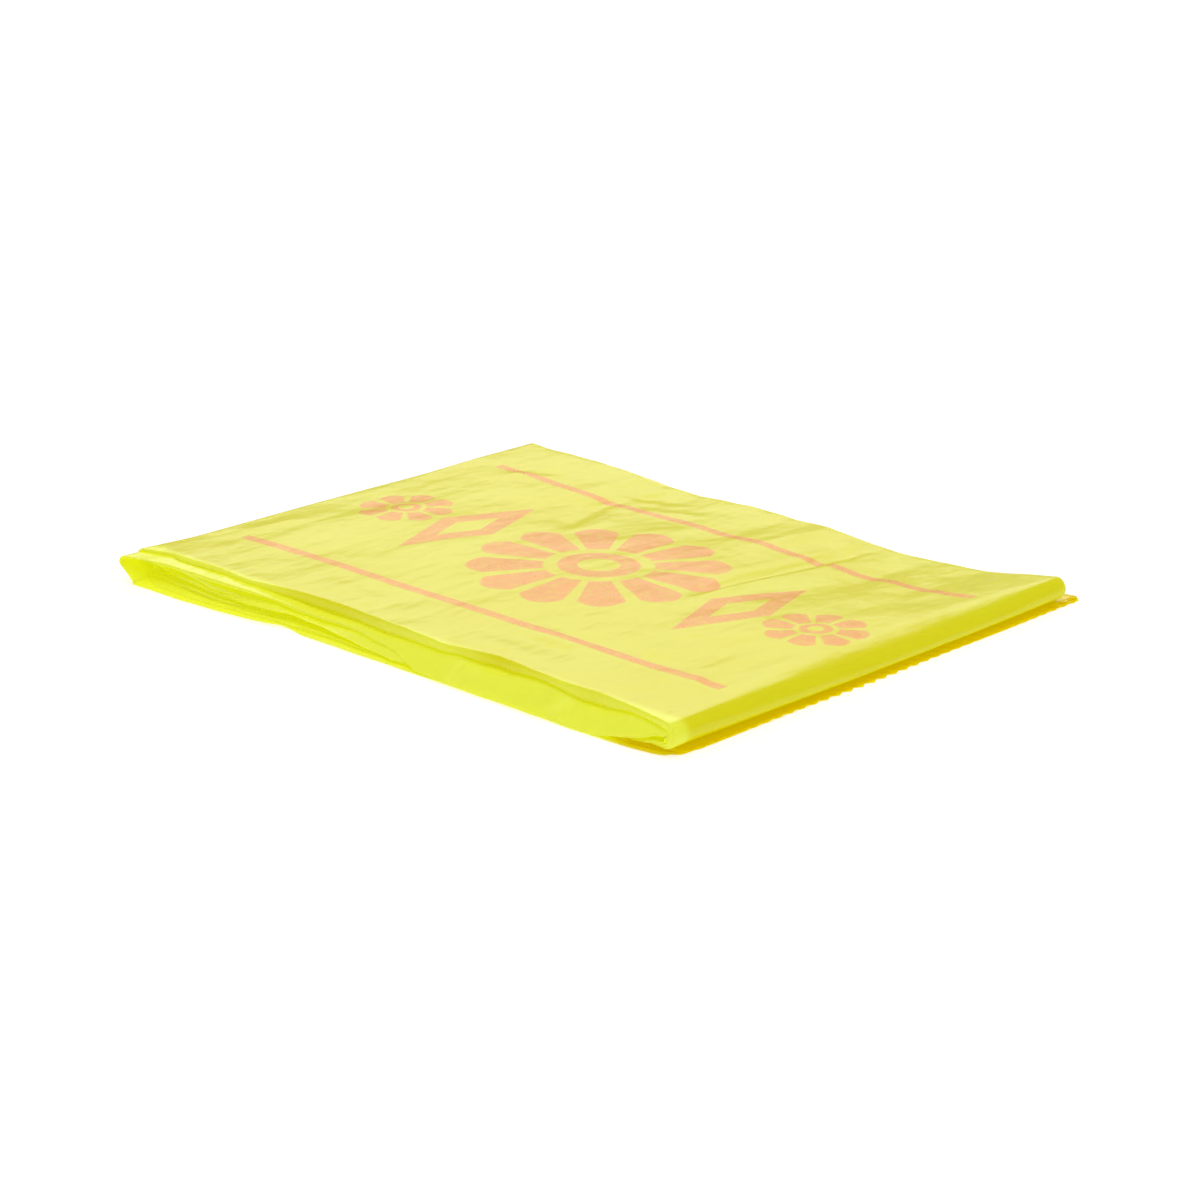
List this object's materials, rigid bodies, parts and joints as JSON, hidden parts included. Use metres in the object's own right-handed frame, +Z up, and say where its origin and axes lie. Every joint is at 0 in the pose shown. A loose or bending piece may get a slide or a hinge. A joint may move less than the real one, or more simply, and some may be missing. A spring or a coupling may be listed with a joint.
{
  "type": "infectious linen bag",
  "caption": "Yellow polyethylene linen bag, folded in four across its width and rolled flat along its length, with a toothed cut mouth.",
  "frame": {"origin": "centre of the footprint, on the surface that the bag lies on", "axes": "+X along the folded length from the outer turn to the front roll and the cut mouth, +Y across the panels, +Z up through the stack"},
  "size_m": [0.2514, 0.21, 0.0106],
  "materials": {
    "film": "fluorescent yellow polyethylene film, glossy, slightly translucent, softly creased"
  },
  "bodies": {
    "root": {"folded_bag": "film"}
  },
  "joints": []
}
